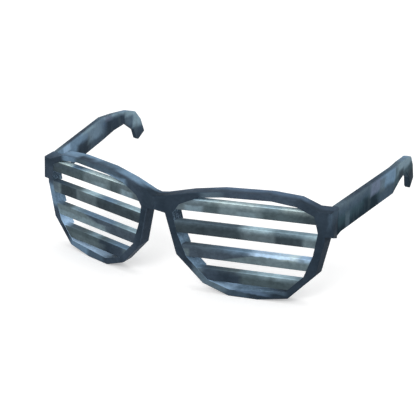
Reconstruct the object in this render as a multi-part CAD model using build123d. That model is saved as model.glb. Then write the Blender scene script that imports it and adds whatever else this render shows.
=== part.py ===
"""Slatted novelty glasses: one V-wrapped front with two rims, eight slats, and two folding temples.

Millimetres. The glasses stand upright as worn: +Z up, the front faces -Y, the temples run back along +Y.
The origin is on the middle line, level with the feet of the rims, halfway from the bridge to the hooks' ends.
Left and right are the wearer's, so left is +X. Each piece is built on the left and mirrored for the right.
"""
import os
from math import atan, cos, degrees, radians, sin, tan

from build123d import *

# Front moulding. Depths are measured straight back from its front face.
front_half_width = 72.5
front_height = 45.7
front_depth = 6.8
wrap_angle = 13.2
front_edge_bevel = 0.3
block_foot_rise = 2.5
block_top_drop = 0.85
block_side_draft = 1.3

# Slats. The height of each one's top is a share of the front's height.
slat_top_shares = (0.886, 0.669, 0.4465, 0.242)
slat_height = 5.1
slat_depth = 4.4
slat_inset = 0.15
slat_brow_radius = 0.7
slat_back_radius = 1.1
slat_edge_radius = 0.25
tenon_height = 2.8
tenon_depth = 1.8
tenon_length = 1.2
tenon_clearance = 0.05

# Temples. Each one's outer face starts in from the side of the front and spreads out from there.
temple_thickness = 2.6
temple_start_inset = 1.2
temple_bend_spread = 6.4
temple_neck_spread = 5.3
temple_end_spread = 3.7
temple_bend_back = 65.5
temple_bend_length = 17.5
temple_hook_length = 15.2
temple_edge_bevel = 0.3
temple_joint_gap = 0.15

# Heights of the temple's edges above and below the middle of the hinge
temple_start_rise = 6.1
temple_start_drop = 6.6
temple_flare_length = 2.6
temple_flare_drop = 5.2
temple_bend_rise = 11.4
temple_bend_drop = 0.3

# Hinges, three knuckles each
hinge_height_share = 0.779
barrel_radius = 1.2
barrel_gap = 0.25
knuckle_height = 2.1
knuckle_gap = 0.1
leaf_thickness = 0.8
leaf_clearance = 0.03
leaf_inner_edge = 0.4
front_leaf_outer_edge = 3.6
temple_leaf_end = 10.2
pin_radius = 0.55
pin_clearance = 0.05
pin_head_radius = 1.0
pin_head_height = 0.6
thread_clearance = 0.02
slot_width = 0.3
slot_depth = 0.25

# Countersunk screws that hold the leaves. Places are measured from the hinge pin.
screw_radius = 0.45
screw_head_radius = 0.85
screw_head_height = 0.4
front_screw_length = 3.0
front_screw_across = 2.2
front_screw_half_spacing = 2.1
temple_screw_length = 1.9
temple_screw_places = (4.2, 8.4)

# Longer than any cut has to be
overrun = 200.0

# Corners of the front, as shares of its half width and height, from under the bridge and round to its top
front_shares = (
    (0.000, 0.748),
    (0.061, 0.728),
    (0.124, 0.344),
    (0.279, 0.092),
    (0.428, 0.000),
    (0.593, 0.000),
    (0.764, 0.048),
    (0.909, 0.296),
    (0.954, 0.621),
    (1.000, 0.621),
    (0.985, 0.9125),
    (0.896, 0.9125),
    (0.797, 0.979),
    (0.641, 1.000),
    (0.372, 0.987),
    (0.196, 0.945),
    (0.041, 0.887),
    (0.000, 0.881),
)
# The rim's corner under the end block
block_corner_share, block_foot_share = front_shares[8]
# Where the brow meets the top of the end block
brow_corner_share, block_top_share = front_shares[11]
# Corners of the lens opening, in the same shares, from its nasal top corner down and round
opening_shares = (
    (0.257, 0.909),
    (0.146, 0.829),
    (0.106, 0.737),
    (0.129, 0.562),
    (0.184, 0.335),
    (0.306, 0.134),
    (0.436, 0.064),
    (0.745, 0.103),
    (0.848, 0.280),
    (0.895, 0.488),
    (0.917, 0.698),
    (0.894, 0.851),
    (0.800, 0.919),
    (0.662, 0.947),
    (0.393, 0.935),
)
# Side view behind the bend, as shares of the length from there and of the temple's height there, from its foot
hook_shares = (
    (0.265, 1.000),
    (0.614, 0.944),
    (0.796, 0.799),
    (0.918, 0.397),
    (1.000, -0.205),
    (0.850, -0.503),
    (0.806, -0.426),
    (0.754, -0.016),
    (0.551, 0.402),
    (0.283, 0.265),
)

# Slopes of the front and the temple, seen from above
wrap_slope = tan(radians(wrap_angle))
temple_start_half_width = front_half_width - temple_start_inset
temple_start_back = temple_start_half_width * wrap_slope + front_depth
splay_slope = temple_bend_spread / (temple_bend_back - temple_start_back)
splay_angle = degrees(atan(splay_slope))
temple_neck_back = temple_bend_back + temple_bend_length
temple_reach = temple_neck_back + temple_hook_length
hinge_middle = hinge_height_share * front_height


def inner_corner(depth):
    """Where the temple's inner face meets the plane this far behind the front face."""
    start = temple_start_half_width - temple_thickness - splay_slope * (temple_start_back - depth)
    across = start / (1 - splay_slope * wrap_slope)
    return Vector(across, across * wrap_slope + depth)


# The pin stands as far behind the front as it stands inside the temple
pin_reach = barrel_radius + barrel_gap
back_normal = Vector(-sin(radians(wrap_angle)), cos(radians(wrap_angle)))
inner_normal = Vector(-cos(radians(splay_angle)), sin(radians(splay_angle)))
pin_step = (back_normal + inner_normal) * (pin_reach / (1 + back_normal.dot(inner_normal)))
pin_place = inner_corner(front_depth) + pin_step + Vector(0, 0, hinge_middle)
hinge_half_height = 1.5 * knuckle_height + knuckle_gap
# Seen from the pin, +X runs out along the back of the front, or +Y runs back along the temple
front_leaf_frame = Location(pin_place, (0, 0, wrap_angle))
temple_leaf_frame = Location(pin_place, (0, 0, -splay_angle))
origin_shift = Pos(0, -temple_reach / 2, 0)


def prism(plane, points):
    """A solid with this outline, longer than the glasses both ways from the plane."""
    return extrude(plane * make_face(Polyline(*points, close=True)), amount=overrun, both=True)


def along_front(section_points):
    """A bar on the left that follows the wrapped front. Its section is given as depth and height."""
    section = Plane.YZ * make_face(Polyline(*section_points, close=True))
    return extrude(section, amount=overrun, dir=(1, wrap_slope, 0))


def block_between(low, high):
    """A box from one corner to the other."""
    size = high - low
    return Location((low + high) / 2) * Box(size.X, size.Y, size.Z)


def drawn_in(points, distance):
    """An outline moved in by the same distance all round."""
    corners = [Vector(*point) for point in points]
    after = corners[1:] + corners[:1]
    before = corners[-1:] + corners[:-1]
    area = sum(corner.X * follower.Y - corner.Y * follower.X for corner, follower in zip(corners, after))
    inward = distance if area > 0 else -distance
    moved = []
    for leader, corner, follower in zip(before, corners, after):
        arriving = (corner - leader).normalized()
        leaving = (follower - corner).normalized()
        step = Vector(-arriving.Y - leaving.Y, arriving.X + leaving.X) * (inward / (1 + arriving.dot(leaving)))
        moved.append((corner.X + step.X, corner.Y + step.Y))
    return moved


def bevelled_slab(points, thickness, bevel, place):
    """A slab with bevelled edges. place turns an outline's corner and a depth into a point in space."""
    narrow = drawn_in(points, bevel)
    levels = ((narrow, 0), (points, bevel), (points, thickness - bevel), (narrow, thickness))
    rings = [[Vector(*place(along, up, depth)) for along, up in outline] for outline, depth in levels]
    walls = [rings[0], rings[-1]]
    for near, far in zip(rings, rings[1:]):
        for index in range(len(points)):
            walls.append([near[index - 1], near[index], far[index], far[index - 1]])
    return Solid(Shell([Face(Wire.make_polygon(corners)) for corners in walls]))


def opening_prism(margin=0):
    """The lens opening, widened all round by a margin, right through the front."""
    points = [(across * front_half_width, up * front_height) for across, up in opening_shares]
    face = make_face(Polyline(*points, close=True))
    if margin:
        face = offset(face, amount=margin, kind=Kind.INTERSECTION)
    return extrude(Plane.XZ * face, amount=overrun, both=True)


def tenon_section(top_share, clearance=0, depth=tenon_depth):
    """Section of a tenon, or with a clearance and more depth, of its socket."""
    middle = top_share * front_height - slat_height / 2
    near = slat_inset + (slat_depth - tenon_depth) / 2
    bottom = middle - tenon_height / 2 - clearance
    top = middle + tenon_height / 2 + clearance
    return [(near, bottom), (near + depth, bottom), (near + depth, top), (near, top)]


def make_slat(top_share):
    """A bar cut to the lens opening, with a tenon at each end that sits in the rim."""
    middle = Pos(slat_inset + slat_depth / 2, top_share * front_height - slat_height / 2)
    section = middle * Rectangle(slat_depth, slat_height)
    section = fillet(section.vertices().sort_by(Axis.Y)[:2], slat_edge_radius)
    section = fillet(section.vertices().sort_by(Axis.Y)[-2:].sort_by(Axis.X)[-1], slat_back_radius)
    section = fillet(section.vertices().sort_by(Axis.X)[:2].sort_by(Axis.Y)[-1], slat_brow_radius)
    bar = extrude(Plane.YZ * section, amount=overrun, dir=(1, wrap_slope, 0)) & opening_prism()
    tenon = along_front(tenon_section(top_share)) & opening_prism(tenon_length)
    return bar + tenon


def leaf_screw(length, clearance=0, slotted=True):
    """A countersunk screw, head up, its face at z = 0. With a clearance, the hole for it."""
    head = Cone(screw_radius + clearance, screw_head_radius + clearance, screw_head_height)
    shank = Cylinder(screw_radius + clearance, length)
    screw = Pos(0, 0, -screw_head_height / 2) * head + Pos(0, 0, -length / 2) * shank
    if slotted:
        screw -= Pos(0, 0, -slot_depth / 2) * Box(2 * screw_head_radius, slot_width, slot_depth)
    return screw


def front_screw_places():
    facing_back = Rot(-90, 0, 0)
    heights = (-front_screw_half_spacing, front_screw_half_spacing)
    return [front_leaf_frame * Pos(front_screw_across, -pin_reach, height) * facing_back for height in heights]


def temple_screw_frames():
    facing_in = Rot(0, -90, 0)
    return [temple_leaf_frame * Pos(pin_reach, place, 0) * facing_in for place in temple_screw_places]


def front_leaf_plate(clearance=0):
    low = Vector(-leaf_inner_edge - clearance, -pin_reach - leaf_thickness, -hinge_half_height - clearance)
    high = Vector(front_leaf_outer_edge + clearance, -pin_reach, hinge_half_height + clearance)
    return front_leaf_frame * block_between(low, high)


def temple_leaf_plate(clearance=0):
    low = Vector(pin_reach, -leaf_inner_edge - clearance, -hinge_half_height - clearance)
    high = Vector(pin_reach + leaf_thickness, temple_leaf_end + clearance, hinge_half_height + clearance)
    return temple_leaf_frame * block_between(low, high)


def knuckle(height, web_low, web_high):
    """A knuckle on the pin, at a height from the hinge's middle, with the web that joins it to its leaf."""
    half = Vector(0, 0, knuckle_height / 2)
    barrel = Cylinder(barrel_radius, knuckle_height)
    web = block_between(web_low - half, web_high + half)
    return Pos(0, 0, height) * (barrel + web)


def pin_hole(radius, height, length):
    return Pos(0, 0, height) * Cylinder(radius, length)


def make_front_leaf():
    """Leaf let into the back of the end block, with the upper and lower knuckles."""
    knuckle_step = knuckle_height + knuckle_gap
    web_low = Vector(-leaf_inner_edge, -pin_reach)
    web_high = Vector(leaf_inner_edge, 0)
    knuckles = knuckle(knuckle_step, web_low, web_high) + knuckle(-knuckle_step, web_low, web_high)
    knuckles -= pin_hole(pin_radius + pin_clearance, knuckle_step, knuckle_height)
    knuckles -= pin_hole(pin_radius + thread_clearance, -knuckle_step, knuckle_height)
    leaf = front_leaf_plate() + front_leaf_frame * knuckles
    for place in front_screw_places():
        leaf -= place * leaf_screw(front_screw_length, thread_clearance, slotted=False)
    return leaf


def make_temple_leaf():
    """Leaf let into the inner face of the temple, with the middle knuckle."""
    middle = knuckle(0, Vector(0, -leaf_inner_edge), Vector(pin_reach, leaf_inner_edge))
    middle -= pin_hole(pin_radius + pin_clearance, 0, knuckle_height)
    leaf = temple_leaf_plate() + temple_leaf_frame * middle
    for place in temple_screw_frames():
        leaf -= place * leaf_screw(temple_screw_length, thread_clearance, slotted=False)
    return leaf


def make_hinge_screw():
    """Slotted screw down through the three knuckles. It threads into the lowest."""
    shank = Cylinder(pin_radius, 2 * hinge_half_height)
    head = Pos(0, 0, hinge_half_height + pin_head_height / 2) * Cylinder(pin_head_radius, pin_head_height)
    slot_height = hinge_half_height + pin_head_height - slot_depth / 2
    slot = Pos(0, 0, slot_height) * Box(2 * pin_head_radius, slot_width, slot_depth)
    return front_leaf_frame * (shank + head - slot)


def block_side_wedge():
    """What is cut from the side of the end block, so that it narrows towards the back."""
    front = front_half_width * wrap_slope
    back = front + front_depth
    return prism(Plane.XY, [(front_half_width, front), (front_half_width - block_side_draft, back),
                            (front_half_width, overrun), (overrun, overrun), (overrun, front)])


def block_foot_wedge():
    """What is cut from under the end block, so that its underside drops towards the back."""
    foot = block_foot_share * front_height
    wedge = along_front([(-overrun, foot), (front_depth, foot), (0, foot + block_foot_rise),
                         (-overrun, foot + block_foot_rise)])
    return wedge & block_between(Vector(block_corner_share * front_half_width, -overrun, -overrun),
                                 Vector(overrun, overrun, overrun))


def block_top_wedge():
    """What is cut from above the end block, so that its top rises towards the back."""
    top = block_top_share * front_height
    wedge = along_front([(-overrun, top - block_top_drop), (0, top - block_top_drop), (front_depth, top),
                         (front_depth, overrun), (-overrun, overrun)])
    high_share, brow_share = front_shares[12]
    corner = Vector(brow_corner_share * front_half_width, top)
    down_brow = corner - Vector(high_share * front_half_width, brow_share * front_height)
    return wedge & prism(Plane.XZ, [corner, corner + 3 * down_brow, corner + Vector(overrun, overrun),
                                    corner + Vector(0, overrun)])


def make_front_frame():
    """Both rims, the bridge and the end blocks in one moulding."""
    past_middle = [(-across, up) for across, up in (front_shares[-2], front_shares[1])]
    points = [(across * front_half_width, up * front_height) for across, up in list(front_shares) + past_middle]
    plate = bevelled_slab(points, front_depth, front_edge_bevel,
                          lambda across, up, depth: (across, across * wrap_slope + depth, up))
    half = plate & block_between(Vector(0, -overrun, -overrun), Vector(overrun, overrun, overrun))
    half = half - opening_prism() - block_side_wedge() - block_foot_wedge() - block_top_wedge()
    frame = half + mirror(half, about=Plane.YZ)
    for top_share in slat_top_shares:
        socket = along_front(tenon_section(top_share, tenon_clearance, front_depth))
        socket &= opening_prism(tenon_length + tenon_clearance)
        frame -= socket
        frame -= mirror(socket, about=Plane.YZ)
    pocket = front_leaf_plate(leaf_clearance)
    for place in front_screw_places():
        pocket += place * leaf_screw(front_screw_length, thread_clearance, slotted=False)
    return frame - pocket - mirror(pocket, about=Plane.YZ)


def temple_outline(start_back):
    """Side view of the temple, as distances back and heights."""
    bend_foot = hinge_middle - temple_bend_drop
    bend_height = temple_bend_rise + temple_bend_drop
    length = temple_reach - temple_bend_back
    hook = [(temple_bend_back + along * length, bend_foot + up * bend_height) for along, up in hook_shares]
    top = [(start_back, hinge_middle + temple_start_rise), (temple_bend_back, bend_foot + bend_height)]
    flare_end = (temple_start_back + temple_flare_length, hinge_middle - temple_flare_drop)
    foot = [(temple_bend_back, bend_foot), flare_end, (start_back, hinge_middle - temple_start_drop)]
    return top + hook + foot


def temple_stretch(outline, near, far, cut_near, cut_far):
    """The temple between two distances back. Its outer face runs through two points seen from above."""
    slope = (far.X - near.X) / (far.Y - near.Y)
    slab = bevelled_slab(outline, temple_thickness, temple_edge_bevel,
                         lambda back, up, depth: (near.X + slope * (back - near.Y) - depth, back, up))
    return slab & block_between(Vector(-overrun, cut_near, -overrun), Vector(overrun, cut_far, overrun))


def make_temple():
    """A flat bar that splays out to its bend, turns in over the ear and hooks down."""
    depth = front_depth + temple_joint_gap / cos(radians(wrap_angle))
    outline = temple_outline(inner_corner(depth).Y)
    start = Vector(temple_start_half_width, temple_start_back)
    bend = Vector(temple_start_half_width + temple_bend_spread, temple_bend_back)
    neck = Vector(temple_start_half_width + temple_neck_spread, temple_neck_back)
    end = Vector(temple_start_half_width + temple_end_spread, temple_reach)
    bar = temple_stretch(outline, start, bend, -overrun, temple_bend_back)
    bar += temple_stretch(outline, bend, neck, temple_bend_back, temple_neck_back)
    bar += temple_stretch(outline, neck, end, temple_neck_back, overrun)
    bar -= along_front([(-overrun, -overrun), (depth, -overrun), (depth, overrun), (-overrun, overrun)])
    bar -= temple_leaf_plate(leaf_clearance)
    for place in temple_screw_frames():
        bar -= place * leaf_screw(temple_screw_length, thread_clearance, slotted=False)
    return bar


def save(name, shape):
    export_step(origin_shift * shape, f"parts/{name}.step")


def group(shapes):
    return Compound(children=list(shapes))


os.makedirs("parts", exist_ok=True)
left_pieces = {f"slat_{number}": make_slat(top_share) for number, top_share in enumerate(slat_top_shares, 1)}
left_pieces["temple"] = make_temple()
left_pieces["front_leaf"] = make_front_leaf()
left_pieces["temple_leaf"] = make_temple_leaf()
left_pieces["hinge_screw"] = make_hinge_screw()
left_pieces["front_leaf_screws"] = group(place * leaf_screw(front_screw_length) for place in front_screw_places())
left_pieces["temple_leaf_screws"] = group(place * leaf_screw(temple_screw_length) for place in temple_screw_frames())
save("front_frame", make_front_frame())
for name, piece in left_pieces.items():
    save(f"left_{name}", piece)
    save(f"right_{name}", mirror(piece, about=Plane.YZ))
print("hinge pin", pin_place - Vector(0, temple_reach / 2), "splay", splay_angle)
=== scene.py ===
import bpy
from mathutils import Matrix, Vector


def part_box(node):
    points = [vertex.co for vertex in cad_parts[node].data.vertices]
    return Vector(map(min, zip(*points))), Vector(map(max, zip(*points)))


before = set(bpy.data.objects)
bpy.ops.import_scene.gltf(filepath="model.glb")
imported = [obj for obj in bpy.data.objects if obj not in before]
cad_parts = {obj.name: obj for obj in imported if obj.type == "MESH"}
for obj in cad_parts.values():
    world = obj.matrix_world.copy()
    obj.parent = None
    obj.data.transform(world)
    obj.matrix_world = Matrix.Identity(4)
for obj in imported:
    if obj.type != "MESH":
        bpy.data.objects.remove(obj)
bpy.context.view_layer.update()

millimetre = 0.001
white = (1.0, 1.0, 1.0, 1.0)

# Shades of the mottled plastic, as red, green and blue out of 255. The lightest also serve as painted light and
# painted highlights.
shades = {
    "pitch": (30, 44, 54),
    "ink": (40, 51, 62),
    "deep": (46, 57, 68),
    "coal": (52, 62, 68),
    "petrol": (52, 73, 83),
    "slate": (58, 70, 83),
    "gunmetal": (62, 73, 84),
    "sage": (67, 80, 85),
    "dusk": (68, 85, 100),
    "ash": (81, 93, 99),
    "storm": (84, 104, 126),
    "mist": (86, 103, 115),
    "haze": (93, 108, 114),
    "lilac": (106, 119, 141),
    "steel": (114, 142, 167),
    "pale": (140, 166, 180),
    "sky": (180, 214, 246),
    "frost": (188, 218, 231),
    "ice": (196, 226, 255),
    "glint": (230, 253, 255),
}

# The moulded plastic: the share of its mottling that is cloudy and not fine, its roughness from the shiniest spot to
# the dullest, how much it mirrors, and the strength and depth of its grain
cloudy_share = 0.55
plastic_sheen = (0.34, 0.5)
plastic_mirroring = 0.005
grain_strength = 0.4
grain_depth = 0.03
# The soft edge of a daub, inwards and outwards, as a share of its reach
daub_edge = 0.35
# Most of a noise lies between these values
noise_ends = (0.3, 0.7)
# How far up a surface faces where it starts to count as a top, and where it fully does
facing_up = (0.45, 0.9)


def linear(shade):
    """The shade as Blender's colour sockets take it."""
    values = [value / 255 for value in shades[shade]]
    return [value / 12.92 if value < 0.04 else ((value + 0.055) / 1.055) ** 2.4 for value in values] + [1.0]


class Finish:
    """One procedural surface finish, made node by node. Its lengths are in millimetres."""

    def __init__(self, name):
        self.material = bpy.data.materials.new(name)
        self.material.use_nodes = True
        self.tree = self.material.node_tree
        self.shader = self.tree.nodes["Principled BSDF"]
        coordinates = self.node("ShaderNodeTexCoord")
        self.place = self.vector_maths("SCALE", coordinates.outputs["Object"], scale=1 / millimetre)
        self.x, self.y, self.z = self.split(self.place)
        self.facing_x, self.facing_y, self.facing_z = self.split(coordinates.outputs["Normal"])

    def node(self, kind, **settings):
        made = self.tree.nodes.new(kind)
        for key, value in settings.items():
            setattr(made, key, value)
        return made

    def feed(self, socket, value):
        if isinstance(value, bpy.types.NodeSocket):
            self.tree.links.new(value, socket)
        else:
            socket.default_value = value

    def maths(self, operation, first, second=0.0):
        made = self.node("ShaderNodeMath", operation=operation)
        self.feed(made.inputs[0], first)
        self.feed(made.inputs[1], second)
        return made.outputs[0]

    def plus(self, first, second):
        return self.maths("ADD", first, second)

    def minus(self, first, second):
        return self.maths("SUBTRACT", first, second)

    def times(self, first, second):
        return self.maths("MULTIPLY", first, second)

    def vector_maths(self, operation, first, second=(0.0, 0.0, 0.0), scale=1.0):
        made = self.node("ShaderNodeVectorMath", operation=operation)
        self.feed(made.inputs[0], first)
        if operation == "SCALE":
            made.inputs["Scale"].default_value = scale
        else:
            self.feed(made.inputs[1], second)
        return made.outputs["Value" if operation in ("DOT_PRODUCT", "LENGTH") else "Vector"]

    def split(self, vector):
        made = self.node("ShaderNodeSeparateXYZ")
        self.feed(made.inputs[0], vector)
        return made.outputs

    def join(self, x, y, z=0.0):
        made = self.node("ShaderNodeCombineXYZ")
        for socket, value in zip(made.inputs, (x, y, z)):
            self.feed(socket, value)
        return made.outputs[0]

    def span(self, value, start, end, low=0.0, high=1.0, pace="SMOOTHSTEP"):
        """Goes from low to high as the value goes from start to end."""
        made = self.node("ShaderNodeMapRange", interpolation_type=pace)
        ends = {"From Min": start, "From Max": end, "To Min": low, "To Max": high}
        for name, given in {"Value": value, **ends}.items():
            self.feed(made.inputs[name], given)
        return made.outputs["Result"]

    def noise(self, grain_size, stretch=(1.0, 1.0, 1.0), detail=3.0, roughness=0.55, output="Fac"):
        """Noise whose grains are about so many millimetres across, longer along a stretched axis."""
        sized = self.node("ShaderNodeMapping", vector_type="TEXTURE")
        self.feed(sized.inputs["Vector"], self.place)
        sized.inputs["Scale"].default_value = [grain_size * share for share in stretch]
        made = self.node("ShaderNodeTexNoise")
        self.feed(made.inputs["Vector"], sized.outputs[0])
        made.inputs["Scale"].default_value = 1.0
        made.inputs["Detail"].default_value = detail
        made.inputs["Roughness"].default_value = roughness
        return made.outputs[output]

    def wander(self, amount, grain_size):
        """X, Y and Z, pushed about by up to the amount, so that what is drawn with them has wandering edges."""
        push = self.vector_maths("SUBTRACT", self.noise(grain_size, output="Color"), (0.5, 0.5, 0.5))
        return self.split(self.vector_maths("ADD", self.place, self.vector_maths("SCALE", push, scale=2 * amount)))

    def ramp(self, value, reach, stops):
        """Shades along a value from 0 to its reach."""
        made = self.node("ShaderNodeValToRGB")
        self.feed(made.inputs["Fac"], self.maths("DIVIDE", value, reach))
        band = made.color_ramp
        while len(band.elements) < len(stops):
            band.elements.new(0.5)
        for element, (distance, shade) in zip(band.elements, stops):
            element.position = distance / reach
            element.color = linear(shade)
        return made.outputs["Color"]

    def blend(self, amount, under, over, way="MIX"):
        made = self.node("ShaderNodeMix", data_type="RGBA", blend_type=way)
        self.feed(made.inputs["Factor"], amount)
        # The colour sockets share their names with the other kinds of socket, so they are taken by their place
        self.feed(made.inputs[6], under)
        self.feed(made.inputs[7], over)
        return made.outputs[2]

    def lay(self, colour, chart, daubs, where=1.0):
        """Lays soft-edged daubs of a shade over the colour, each at its centre on a chart of the surface."""
        for centre, reach, shade, strength in daubs:
            local = self.node("ShaderNodeMapping", vector_type="TEXTURE")
            self.feed(local.inputs["Vector"], chart)
            local.inputs["Location"].default_value = (*centre, 0.0)
            local.inputs["Scale"].default_value = (*reach, 1.0)
            across, up, _ = self.split(self.vector_maths("ABSOLUTE", local.outputs[0]))
            inside = self.span(self.maths("MAXIMUM", across, up), 1 - daub_edge, 1 + daub_edge, strength, 0.0)
            colour = self.blend(self.times(inside, where), colour, linear(shade))
        return colour

    def gloss(self, colour, mottling):
        """Adds the cloudy and fine mottling, the worn sheen and the fine grain of moulded plastic."""
        clouds = self.noise(5.0, detail=4.0, roughness=0.6)
        brushed = self.noise(1.0, (1.6, 1.0, 1.0), 3.0, 0.6)
        together = self.plus(self.times(clouds, cloudy_share), self.times(brushed, 1 - cloudy_share))
        level = self.span(together, *noise_ends, 1 - mottling, 1 + mottling)
        self.feed(self.shader.inputs["Base Color"], self.blend(1.0, colour, level, "MULTIPLY"))
        wear = self.noise(3.0, detail=5.0, roughness=0.65)
        self.feed(self.shader.inputs["Roughness"], self.span(wear, *noise_ends, *plastic_sheen))
        self.shader.inputs["Specular IOR Level"].default_value = plastic_mirroring
        ripple = self.node("ShaderNodeBump")
        ripple.inputs["Strength"].default_value = grain_strength
        ripple.inputs["Distance"].default_value = grain_depth * millimetre
        self.feed(ripple.inputs["Height"], self.noise(0.7, detail=4.0, roughness=0.6))
        self.feed(self.shader.inputs["Normal"], ripple.outputs["Normal"])

    def give(self, *names):
        for name in names:
            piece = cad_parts[name]
            piece.data.materials.clear()
            piece.data.materials.append(self.material)


# Slats. Each shade stands with its distance in millimetres from the middle of the glasses, up to the reach.
slat_reach = 70
# Shades of the face, the same on both sides
slat_faces = {
    1: ((20, "ash"), (22.5, "sage"), (26, "sage"), (28, "haze"), (43, "haze"), (45.5, "sage"), (56, "sage"),
        (66, "coal")),
    2: ((35, "coal"), (37.5, "ash"), (49, "ash"), (50.5, "coal"), (60, "coal"), (61.5, "haze")),
    3: ((35, "gunmetal"), (38, "haze")),
    4: ((17, "haze"), (21, "slate"), (30, "ink"), (35, "deep"), (37, "sage"), (55, "sage"), (60, "ash")),
}
# How far the edge of a patch leans over the height of the face
slat_leans = {1: 0.0, 2: 0.0, 3: 18.0, 4: 0.0}
# How strongly painted light from above shows on the upper part of the face, and the shades of the painted lit top
slat_painted_tops = {
    ("left", 1): (0.22, ((12, "steel"), (20, "frost"), (28, "glint"), (40, "glint"), (46, "frost"), (50, "frost"),
                         (54, "glint"))),
    ("right", 1): (0.05, ((18, "pale"), (25, "glint"), (38, "glint"), (43, "frost"), (47, "steel"), (51, "steel"),
                          (54, "glint"), (58, "glint"), (64, "dusk"))),
    ("left", 2): (0.55, ((34, "mist"), (40, "frost"), (46, "frost"), (50, "pale"), (61, "pale"), (66, "frost"))),
    ("right", 2): (0.05, ((12, "frost"), (22, "pale"), (27, "steel"), (31, "steel"), (35, "pale"), (38, "frost"),
                          (42, "frost"), (48, "haze"), (60, "dusk"))),
    ("left", 3): (0.6, ((10, "gunmetal"), (22, "mist"), (34, "steel"), (44, "steel"), (49, "pale"), (53, "glint"),
                        (57, "glint"), (60, "sky"))),
    ("right", 3): (0.04, ((6, "frost"), (22, "pale"), (28, "steel"), (44, "steel"), (52, "pale"), (56, "haze"),
                          (60, "mist"), (65, "steel"))),
    ("left", 4): (0.3, ((17, "steel"), (21, "dusk"), (34, "haze"), (38, "pale"), (50, "frost"), (60, "pale"))),
    ("right", 4): (0.05, ((24, "steel"), (34, "haze"), (38, "pale"), (46, "haze"), (55, "mist"), (60, "sky"))),
}
# Daubs on the face of a slat: distance from the middle and height, reach, shade, strength
slat_daubs = {
    ("left", 1): (((16.5, 36.6), (3.5, 1.4), "pale", 0.4), ((38.0, 36.2), (3.5, 1.2), "pale", 0.2)),
    ("right", 1): (((16.5, 36.6), (3.5, 1.4), "pale", 0.4), ((34.0, 36.2), (4.5, 1.2), "pale", 0.2),
                   ((58.0, 38.9), (8.0, 1.0), "slate", 0.4)),
    ("right", 2): (((65.5, 28.8), (3.0, 2.2), "gunmetal", 0.6),),
    # On left slat 3, the ice daub is a painted highlight along the upper edge
    ("left", 3): (((12.5, 16.5), (2.0, 2.2), "haze", 0.8), ((48.5, 20.1), (8.0, 0.9), "ice", 0.7)),
    ("right", 3): (((33.5, 16.5), (2.5, 1.5), "haze", 0.7), ((50.0, 16.2), (18.0, 1.8), "pale", 0.27)),
    # On right slat 4, the sky daub is painted light at the outer end
    ("right", 4): (((61.0, 8.5), (1.8, 3.5), "sky", 0.85), ((44.0, 7.3), (11.0, 1.5), "haze", 0.45)),
}
# The painted light shows from so far below a slat's top to so far above it
lit_below, lit_above = 2.6, 0.2
# How far the edges of the slats' patches wander, the length of a wander, and the strength of the mottling
slat_wander = (0.7, 4.0)
slat_mottling = 0.224


def dress_slat(side, number):
    name = f"{side}_slat_{number}"
    finish = Finish(f"mottled_{name}")
    low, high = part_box(name)
    foot, top = low[2] / millimetre, high[2] / millimetre
    lit_share, lit_shades = slat_painted_tops[side, number]
    loose_x, _, loose_z = finish.wander(*slat_wander)
    outwards = finish.maths("ABSOLUTE", loose_x)

    height = finish.span(finish.z, foot, top, pace="LINEAR")
    leaning = finish.times(finish.minus(0.5, height), slat_leans[number])
    colour = finish.ramp(finish.plus(outwards, leaning), slat_reach, slat_faces[number])
    lit_colour = finish.ramp(outwards, slat_reach, lit_shades)
    patchy = finish.span(finish.noise(4.0, (1.6, 1.0, 1.0)), 0.3, 0.65, 0.6, 1.0)
    # Painted light on the upper part of the face, in the top's shades
    lit_edge = finish.span(loose_z, top - lit_below, top + lit_above, 0.0, lit_share)
    colour = finish.blend(finish.times(lit_edge, patchy), colour, lit_colour)
    # The top faces take the top's painted light and painted highlights
    colour = finish.blend(finish.span(finish.facing_z, *facing_up), colour, lit_colour)
    colour = finish.lay(colour, finish.join(outwards, loose_z), slat_daubs.get((side, number), ()))
    finish.gloss(colour, slat_mottling)
    finish.give(name)


for side, number in slat_painted_tops:
    dress_slat(side, number)


# The front. Its face lies so far ahead at the nose and is swept back by a share of the way outwards, and its
# openings are centred so far aside and so high, in millimetres.
nose_ahead = 49.1
sweep_back = 0.2345
opening_aside = 38.0
opening_height = 23.0
# One side's shades go over into the other's within this distance of the middle
nose_blend = 3.0
# How far forwards and up the front faces where it starts to count as its face or its top, and where it fully does
front_facing_ahead = (-0.4, -0.8)
front_facing_up = (0.4, 0.85)
# How far a side is turned from the middle of its opening, or to it, where it starts to count, and where it fully does
turned_start, turned_full = 8.0, 12.0
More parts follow.
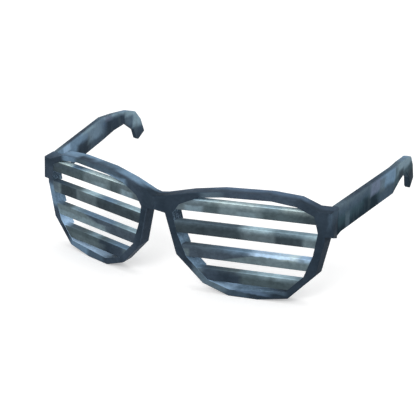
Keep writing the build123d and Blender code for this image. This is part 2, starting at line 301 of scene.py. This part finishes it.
# Daubs on the front, looked at from in front: centre and reach across and up, shade, strength
front_daubs = (
    ((-59.5, 42.0), (1.5, 8.0), "deep", 0.6),
    ((-53.5, 42.0), (4.5, 5.0), "steel", 0.7),
    ((-34.0, 45.0), (16.0, 5.0), "dusk", 0.9),
    ((-45.0, 45.0), (3.5, 2.5), "sage", 0.5),
    ((-22.5, 41.0), (6.0, 2.0), "steel", 0.7),
    ((-65.5, 24.0), (3.5, 5.5), "steel", 0.7),
    ((-63.0, 14.0), (3.0, 5.0), "slate", 0.9),
    ((-69.0, 33.0), (5.0, 4.0), "slate", 0.7),
    ((-49.0, 3.5), (6.5, 3.5), "steel", 0.65),
    ((-38.0, 2.0), (5.0, 4.0), "dusk", 0.95),
    ((-27.0, 3.0), (5.0, 4.0), "slate", 0.7),
    ((-16.0, 12.0), (4.5, 7.0), "slate", 0.9),
    ((-12.0, 40.0), (5.0, 6.0), "slate", 0.6),
    ((24.5, 44.0), (4.5, 4.0), "mist", 0.75),
    ((43.5, 45.0), (14.5, 4.5), "slate", 1.0),
    ((24.5, 5.0), (6.5, 4.0), "mist", 0.9),
    ((35.0, 2.0), (4.5, 3.0), "dusk", 0.6),
    ((19.0, 9.3), (2.6, 2.6), "mist", 0.65),
    # Painted light on the front's outer strip by the block's side
    ((72.5, 40.0), (2.2, 5.0), "dusk", 0.5),
    # These two daubs are a painted highlight along the inner edge of the rim's bottom bar
    ((40.0, 3.3), (7.0, 0.9), "storm", 0.95),
    ((50.0, 4.4), (4.5, 0.8), "dusk", 0.8),
)
# Daubs on the top of the brow, seen from above: centre and reach across and from front to back, shade, strength
brow_daubs = (
    ((-68.0, 4.0), (7.0, 8.0), "slate", 0.8),
    ((-54.0, 5.0), (6.0, 4.5), "steel", 0.8),
    ((-16.0, 6.0), (8.0, 4.0), "steel", 0.9),
    ((-30.0, 3.5), (7.0, 5.0), "dusk", 0.5),
    ((68.0, 4.0), (8.0, 8.0), "slate", 0.8),
    ((9.0, 5.0), (13.0, 8.0), "slate", 0.8),
)
# Shades of the openings' walls by height, up to the reach, and the daubs on them, placed as those on the front are
# The walls are painted light: lightest low down, with daubs of painted light
wall_reach = 50
left_wall_shades = ((16, "steel"), (19, "mist"), (22, "steel"), (26, "dusk"), (30, "slate"), (34, "dusk"))
right_wall_shades = ((0, "ice"), (16, "sky"), (19, "steel"), (24, "steel"), (27, "pale"), (31, "dusk"))
wall_painted_lights = (
    ((27.5, 4.0), (5.5, 3.0), "sky", 0.6),
    ((-55.0, 6.0), (5.0, 4.0), "ice", 0.8),
)
speckle_strength = 0.2
# How far the edges of the front's patches wander, the length of a wander, and the strength of the mottling
front_wander = (1.3, 6.0)
front_mottling = 0.176


def brow_top_painted_light(finish, loose_x, distance, wearer_left):
    """Painted light on the front's top: lighter at the back, darker over the nose and at the wearer's left end."""
    depth = finish.minus(finish.plus(finish.y, nose_ahead), finish.times(distance, sweep_back))
    cloud = finish.times(finish.minus(finish.noise(7.0, (1.5, 1.0, 1.0)), 0.5), 6.0)
    back_shade = finish.blend(wearer_left, linear("steel"), linear("storm"))
    colour = finish.blend(finish.span(finish.plus(depth, cloud), 1.2, 5.5), linear("slate"), back_shade)
    colour = finish.lay(colour, finish.join(loose_x, depth), brow_daubs)
    over_nose = finish.times(finish.span(distance, 13.0, 3.0), finish.span(depth, 5.5, 3.5))
    colour = finish.blend(over_nose, colour, linear("ink"))
    left_end = finish.times(finish.span(finish.x, 57.0, 60.0), finish.span(depth, 4.0, 1.5))
    return finish.blend(left_end, colour, linear("deep"))


def opening_walls_painted_light(finish, chart, wearer_left):
    """The walls of the two openings, speckled and painted light, each with a plainer shade towards the wearer's left.
    """
    right_wall = finish.ramp(finish.z, wall_reach, right_wall_shades)
    right_wall = finish.blend(finish.span(finish.x, -42.0, -26.0), right_wall, linear("dusk"))
    left_wall = finish.ramp(finish.z, wall_reach, left_wall_shades)
    left_wall = finish.blend(finish.span(finish.x, 42.0, 60.0), left_wall, linear("slate"))
    colour = finish.lay(finish.blend(wearer_left, right_wall, left_wall), chart, wall_painted_lights)
    speckle = finish.span(finish.noise(0.9, detail=2.0), 0.45, 0.65, 0.0, speckle_strength)
    return finish.blend(speckle, colour, linear("sky"))


def dress_front():
    finish = Finish("mottled_front")
    loose_x, _, loose_z = finish.wander(*front_wander)
    chart = finish.join(loose_x, loose_z)
    distance = finish.maths("ABSOLUTE", finish.x)
    wearer_left = finish.span(finish.x, -nose_blend, nose_blend)

    colour = finish.blend(finish.span(finish.noise(12.0), 0.35, 0.65), linear("ink"), linear("deep"))
    colour = finish.lay(colour, chart, front_daubs, finish.span(finish.facing_y, *front_facing_ahead))
    brow = brow_top_painted_light(finish, loose_x, distance, wearer_left)
    # Faces that point up take the brow top's painted light
    colour = finish.blend(finish.span(finish.facing_z, *front_facing_up), colour, brow)

    # Above zero on a side that is turned away from the middle of its opening, and below it on the opening's wall
    aside = finish.times(finish.facing_x, finish.maths("SIGN", finish.x))
    from_middle = finish.join(finish.minus(distance, opening_aside), 0.0, finish.minus(finish.z, opening_height))
    turned = finish.vector_maths("DOT_PRODUCT", from_middle, finish.join(aside, 0.0, finish.facing_z))

    outer_side = finish.times(finish.span(turned, turned_start, turned_full), finish.span(finish.facing_z, 0.5, 0.2))
    outer_side = finish.times(outer_side, finish.span(finish.z, 37.0, 34.0))
    colour = finish.blend(outer_side, colour, finish.blend(wearer_left, linear("slate"), linear("ink")))
    # Painted light on the block's outer side: lighter towards its top
    block_side = finish.times(finish.span(finish.facing_x, 0.6, 0.8), finish.span(finish.z, 32.0, 33.5))
    block_side_painted_light = finish.blend(finish.span(finish.z, 34.5, 40.0), linear("ink"), linear("dusk"))
    colour = finish.blend(finish.times(block_side, 0.75), colour, block_side_painted_light)
    # The walls of the openings take their painted light
    walls = opening_walls_painted_light(finish, chart, wearer_left)
    colour = finish.blend(finish.span(turned, -turned_start, -turned_full), colour, walls)
    finish.gloss(colour, front_mottling)
    finish.give("front_frame")


dress_front()


# The temples. Their top edge rises from the hinge to the bend over the ear, and patches are placed below that line,
# in millimetres.
temple_start = -25.0
temple_bend = 16.0
temple_start_height = 41.7
temple_slope = 0.129
# Shades of the outer and inner faces by the way down from the top edge, and of the top edge by the way back from the
# start, each up to its reach
# The faces are lighter near the top edge and darker lower down, partly the plastic's own tone and partly painted
# shade
face_reach = 20
top_edge_reach = 80
outer_shades = ((0, "mist"), (3, "dusk"), (6, "petrol"), (10, "pitch"))
inner_shades = ((0, "pale"), (3, "storm"), (8, "dusk"), (14, "slate"), (20, "deep"))
top_edge_shades = ((0, "mist"), (12, "slate"), (26, "slate"), (36, "dusk"), (48, "mist"), (65, "steel"))
# Daubs on the two faces: centre and reach from front to back and down from the top edge, shade, strength
outer_daubs = (
    ((-18.5, 9.0), (1.6, 4.0), "mist", 0.6),
    ((-2.0, 9.0), (5.0, 4.0), "pitch", 0.85),
    ((3.0, 2.8), (4.5, 2.8), "lilac", 0.8),
    ((11.0, 9.5), (6.0, 4.0), "dusk", 0.8),
    ((13.5, 1.8), (7.0, 4.2), "steel", 0.8),
    ((22.5, 6.0), (3.5, 5.0), "petrol", 1.0),
    ((42.0, 1.5), (5.0, 3.0), "pale", 0.55),
    ((30.0, 1.0), (9.0, 4.0), "pale", 0.6),
    ((26.5, 6.8), (3.5, 3.0), "pitch", 0.8),
    ((7.4, 4.6), (2.2, 3.0), "ash", 0.6),
)
inner_daubs = (
    ((-14.0, 2.0), (15.0, 4.0), "steel", 0.9),
    ((-18.0, 1.5), (3.0, 1.6), "sky", 0.5),
    ((-2.0, 8.2), (6.0, 3.8), "deep", 0.9),
    ((11.0, 3.5), (7.0, 4.0), "storm", 0.9),
    ((9.0, 3.5), (7.0, 4.0), "pale", 0.35),
    ((3.0, 0.4), (6.0, 1.2), "pale", 0.6),
    ((21.5, 0.9), (2.5, 1.6), "lilac", 0.9),
    ((27.0, 6.2), (8.0, 4.4), "deep", 0.9),
    ((36.5, 4.0), (2.5, 3.5), "mist", 0.7),
    ((41.0, 0.5), (6.0, 3.0), "pale", 0.9),
    ((43.5, 5.0), (3.5, 5.0), "pale", 0.8),
)
streak_strength = 0.25
# How far the edges of the temples' patches wander, the length of a wander, and the strength of the mottling
temple_wander = (1.5, 7.0)
temple_mottling = 0.16


def dress_temple(side, outward_sign):
    finish = Finish(f"mottled_{side}_temple")
    _, loose_y, loose_z = finish.wander(*temple_wander)
    rise = finish.times(finish.minus(finish.maths("MINIMUM", finish.y, temple_bend), temple_start), temple_slope)
    down = finish.minus(finish.plus(rise, temple_start_height), loose_z)
    chart = finish.join(loose_y, down)

    outer = finish.lay(finish.ramp(down, face_reach, outer_shades), chart, outer_daubs)
    inner = finish.lay(finish.ramp(down, face_reach, inner_shades), chart, inner_daubs)
    outward = finish.span(finish.times(finish.facing_x, outward_sign), -0.15, 0.15)
    colour = finish.blend(outward, inner, outer)
    top_edge = finish.ramp(finish.minus(loose_y, temple_start), top_edge_reach, top_edge_shades)
    colour = finish.blend(finish.span(finish.facing_z, *facing_up), colour, top_edge)
    streaks = finish.span(finish.noise(2.2, (1.0, 1.0, 7.0)), 0.5, 0.75, 0.0, streak_strength)
    colour = finish.blend(streaks, colour, linear("haze"))
    finish.gloss(colour, temple_mottling)
    finish.give(f"{side}_temple")


dress_temple("left", 1.0)
dress_temple("right", -1.0)


# The hinges' metal: how far its brushing lightens and darkens it, and its roughness
brushing = 0.08
metal_sheen = (0.25, 0.45)


def dress_metal(name, grey, *pieces):
    finish = Finish(name)
    brushed = finish.noise(0.5, (10.0, 1.0, 1.0), 4.0, 0.7)
    tone = finish.span(brushed, *noise_ends, grey - brushing, grey + brushing)
    finish.feed(finish.shader.inputs["Base Color"], tone)
    finish.shader.inputs["Metallic"].default_value = 1.0
    finish.feed(finish.shader.inputs["Roughness"], finish.span(brushed, *noise_ends, *metal_sheen))
    finish.give(*(f"{side}_{piece}" for side in ("left", "right") for piece in pieces))


dress_metal("satin_nickel", 0.5, "front_leaf", "temple_leaf")
dress_metal("bright_screw_steel", 0.62, "hinge_screw", "front_leaf_screws", "temple_leaf_screws")


# Camera, in metres
eye = Vector((0.215846, -0.362480, 0.177076))
target = Vector((0.026785, -0.0491, 0.0393))
camera = bpy.data.objects.new("camera", bpy.data.cameras.new("camera"))
bpy.context.collection.objects.link(camera)
camera.location = eye
camera.rotation_euler = (target - eye).to_track_quat("-Z", "Y").to_euler()
camera.data.sensor_width = 36.0
camera.data.lens = 85.03
bpy.context.scene.camera = camera

# Lamps, which all point at the glasses
lamp_target = Vector((0.0, -0.02, 0.03))


def add_softbox(name, place, size, power):
    lamp = bpy.data.objects.new(name, bpy.data.lights.new(name, "AREA"))
    bpy.context.collection.objects.link(lamp)
    lamp.location = place
    lamp.rotation_euler = (lamp_target - Vector(place)).to_track_quat("-Z", "Y").to_euler()
    lamp.data.shape = "SQUARE"
    lamp.data.size = size
    lamp.data.energy = power


add_softbox("key_softbox", (0.1, -0.82, 0.6), 0.5, 4.6)
add_softbox("overhead_softbox", (0.0, 0.1, 0.9), 0.8, 1.8)
add_softbox("side_softbox", (1.0, 0.0, 0.45), 0.6, 1.6)


def seen_share(tree):
    """1 for what the camera, a reflection or a see-through part looks at, 0 for light."""
    path = tree.nodes.new("ShaderNodeLightPath")
    total = path.outputs["Is Camera Ray"]
    for name in ("Is Glossy Ray", "Is Transmission Ray"):
        either = tree.nodes.new("ShaderNodeMath")
        either.operation = "MAXIMUM"
        tree.links.new(total, either.inputs[0])
        tree.links.new(path.outputs[name], either.inputs[1])
        total = either.outputs[0]
    return total


# White studio: the world lights the glasses at a plain level and is white where it is seen
world_light = 0.55
world_seen = 1.0
world = bpy.data.worlds.new("white_studio")
bpy.context.scene.world = world
world.use_nodes = True
background = world.node_tree.nodes["Background"]
background.inputs["Color"].default_value = white
world_level = world.node_tree.nodes.new("ShaderNodeMapRange")
world_level.inputs["To Min"].default_value = world_light
world_level.inputs["To Max"].default_value = world_seen
world.node_tree.links.new(seen_share(world.node_tree), world_level.inputs["Value"])
world.node_tree.links.new(world_level.outputs["Result"], background.inputs["Strength"])

# The floor keeps the shadow near the glasses and fades to white away from them: how far away, in millimetres, and
# how strongly it glows where it is seen
floor_fade = (150.0, 900.0)
floor_glow = (0.3, 0.62)
bpy.ops.object.select_all(action="DESELECT")
bpy.ops.mesh.primitive_plane_add(size=8.0, location=(0.0, 0.0, 0.0))
floor = bpy.context.object
floor.name = "studio_floor"
paper = Finish("white_paper")
away = paper.vector_maths("LENGTH", paper.place)
paper_glow = paper.times(paper.span(away, *floor_fade, *floor_glow), seen_share(paper.tree))
paper.shader.inputs["Base Color"].default_value = (0.9, 0.9, 0.9, 1.0)
paper.shader.inputs["Roughness"].default_value = 0.9
paper.shader.inputs["Specular IOR Level"].default_value = 0.0
paper.shader.inputs["Emission Color"].default_value = white
paper.feed(paper.shader.inputs["Emission Strength"], paper_glow)
floor.data.materials.append(paper.material)

bpy.context.scene.view_settings.view_transform = "Standard"
